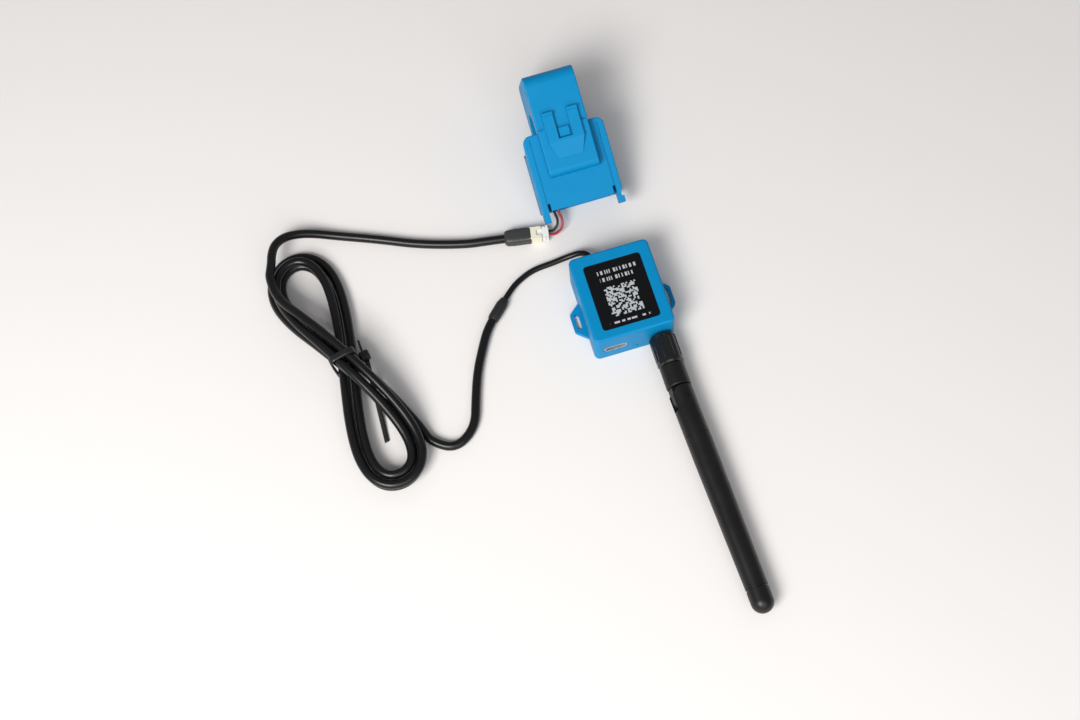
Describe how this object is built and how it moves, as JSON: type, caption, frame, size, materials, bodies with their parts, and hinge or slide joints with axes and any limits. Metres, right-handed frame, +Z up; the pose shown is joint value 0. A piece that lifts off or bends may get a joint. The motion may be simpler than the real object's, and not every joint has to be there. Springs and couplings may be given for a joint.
{
  "type": "smart current transformer",
  "caption": "Split-core current clamp on a tied black cable, wired to a small blue radio box with a folding whip antenna.",
  "frame": {"origin": "centre of the transmitter box on the surface it lies on", "axes": "+Z up from the surface, -Y from the box to the antenna, +X across the box away from the cable"},
  "size_m": [0.1515, 0.2269, 0.0383],
  "materials": {
    "blue_plastic": "fine matt moulded",
    "black_plastic": "satin",
    "antenna_plastic": "satin",
    "cable_rubber": "smooth, slightly shiny",
    "label_black": "gloss",
    "cream_plastic": "matt",
    "white_plastic": "matt",
    "steel": "plain",
    "brass": "plain",
    "gold_contact": "bright",
    "copper_coil": "varnished",
    "board_green": "solder mask",
    "chip_black": "matt",
    "red_insulation": "smooth",
    "insulator": "waxy",
    "core_iron": "laminated",
    "foam": "foam",
    "light": "clear"
  },
  "bodies": {
    "transmitter": {"base_case": "blue_plastic", "top_case": "blue_plastic", "label_plate": "label_black", "case_screws": "steel", "circuit_board": "board_green", "radio_shield": "steel", "power_chip": "chip_black", "storage_capacitor": "chip_black", "bridge_rectifier": "chip_black", "status_light": "light", "lead_terminal": "white_plastic", "cable_grommet": "cable_rubber", "usb_shell": "steel", "usb_tongue": "black_plastic", "reset_switch": "steel", "antenna_socket": "brass", "socket_insulator": "insulator", "socket_contact": "gold_contact", "thin_lead": "cable_rubber", "joint_sleeve": "cable_rubber", "cable_lower": "cable_rubber", "cable_hank": "cable_rubber", "cable_tie": "black_plastic", "cable_upper": "cable_rubber", "connector_boot": "cable_rubber", "connector_header": "cream_plastic", "header_pins": "gold_contact"},
    "reset": {"reset_plunger": "black_plastic"},
    "collar": {"antenna_collar": "antenna_plastic"},
    "swivel": {"antenna_base": "antenna_plastic", "antenna_pin": "gold_contact", "antenna_hinge_pin": "antenna_plastic"},
    "mast": {"antenna_mast": "antenna_plastic", "antenna_tip": "antenna_plastic", "antenna_radiator": "copper_coil"},
    "clamp": {"plug_housing": "white_plastic", "red_wire": "red_insulation", "black_wire": "cable_rubber", "clamp_front_shell": "blue_plastic", "clamp_back_shell": "blue_plastic", "terminal_board": "board_green", "terminal_parts": "chip_black", "bobbin": "black_plastic", "winding": "copper_coil", "lower_core": "core_iron", "jaw_hinge_pin": "steel"},
    "jaw": {"jaw_shell": "blue_plastic", "jaw_cover": "blue_plastic", "upper_core": "core_iron", "core_pad": "foam"},
    "latch": {"latch_clip": "blue_plastic"}
  },
  "joints": [
    {"name": "reset_press", "type": "slide", "parent": "transmitter", "child": "reset", "axis": [0, 1, 0], "range_m": [0, 0.00025], "stiffness_N_per_m": 800},
    {"name": "collar_turn", "type": "hinge", "parent": "transmitter", "child": "collar", "pos_m": [0.01, -0.025, 0.0062], "axis": [0, -1, 0], "continuous": true},
    {"name": "antenna_swivel", "type": "hinge", "parent": "transmitter", "child": "swivel", "pos_m": [0.01, -0.03, 0.0062], "axis": [0, -1, 0], "continuous": true},
    {"name": "antenna_fold", "type": "hinge", "parent": "swivel", "child": "mast", "pos_m": [0.01, -0.0453, 0.0062], "axis": [-0.2588, 0, -0.9659], "range_deg": [0, 90]},
    {"name": "connector_unplug", "type": "slide", "parent": "transmitter", "child": "clamp", "axis": [0.986, -0.1667, 0], "range_m": [0, 0.008]},
    {"name": "jaw_open", "type": "hinge", "parent": "clamp", "child": "jaw", "pos_m": [-0.0024, 0.08046, 0.0025], "axis": [-1, 0, 0], "range_deg": [0, 95]},
    {"name": "latch_flex", "type": "hinge", "parent": "clamp", "child": "latch", "pos_m": [-0.0024, 0.05545, 0.02538], "axis": [1, 0, 0], "range_deg": [0, 8], "stiffness_Nm_per_rad": 0.2}
  ]
}
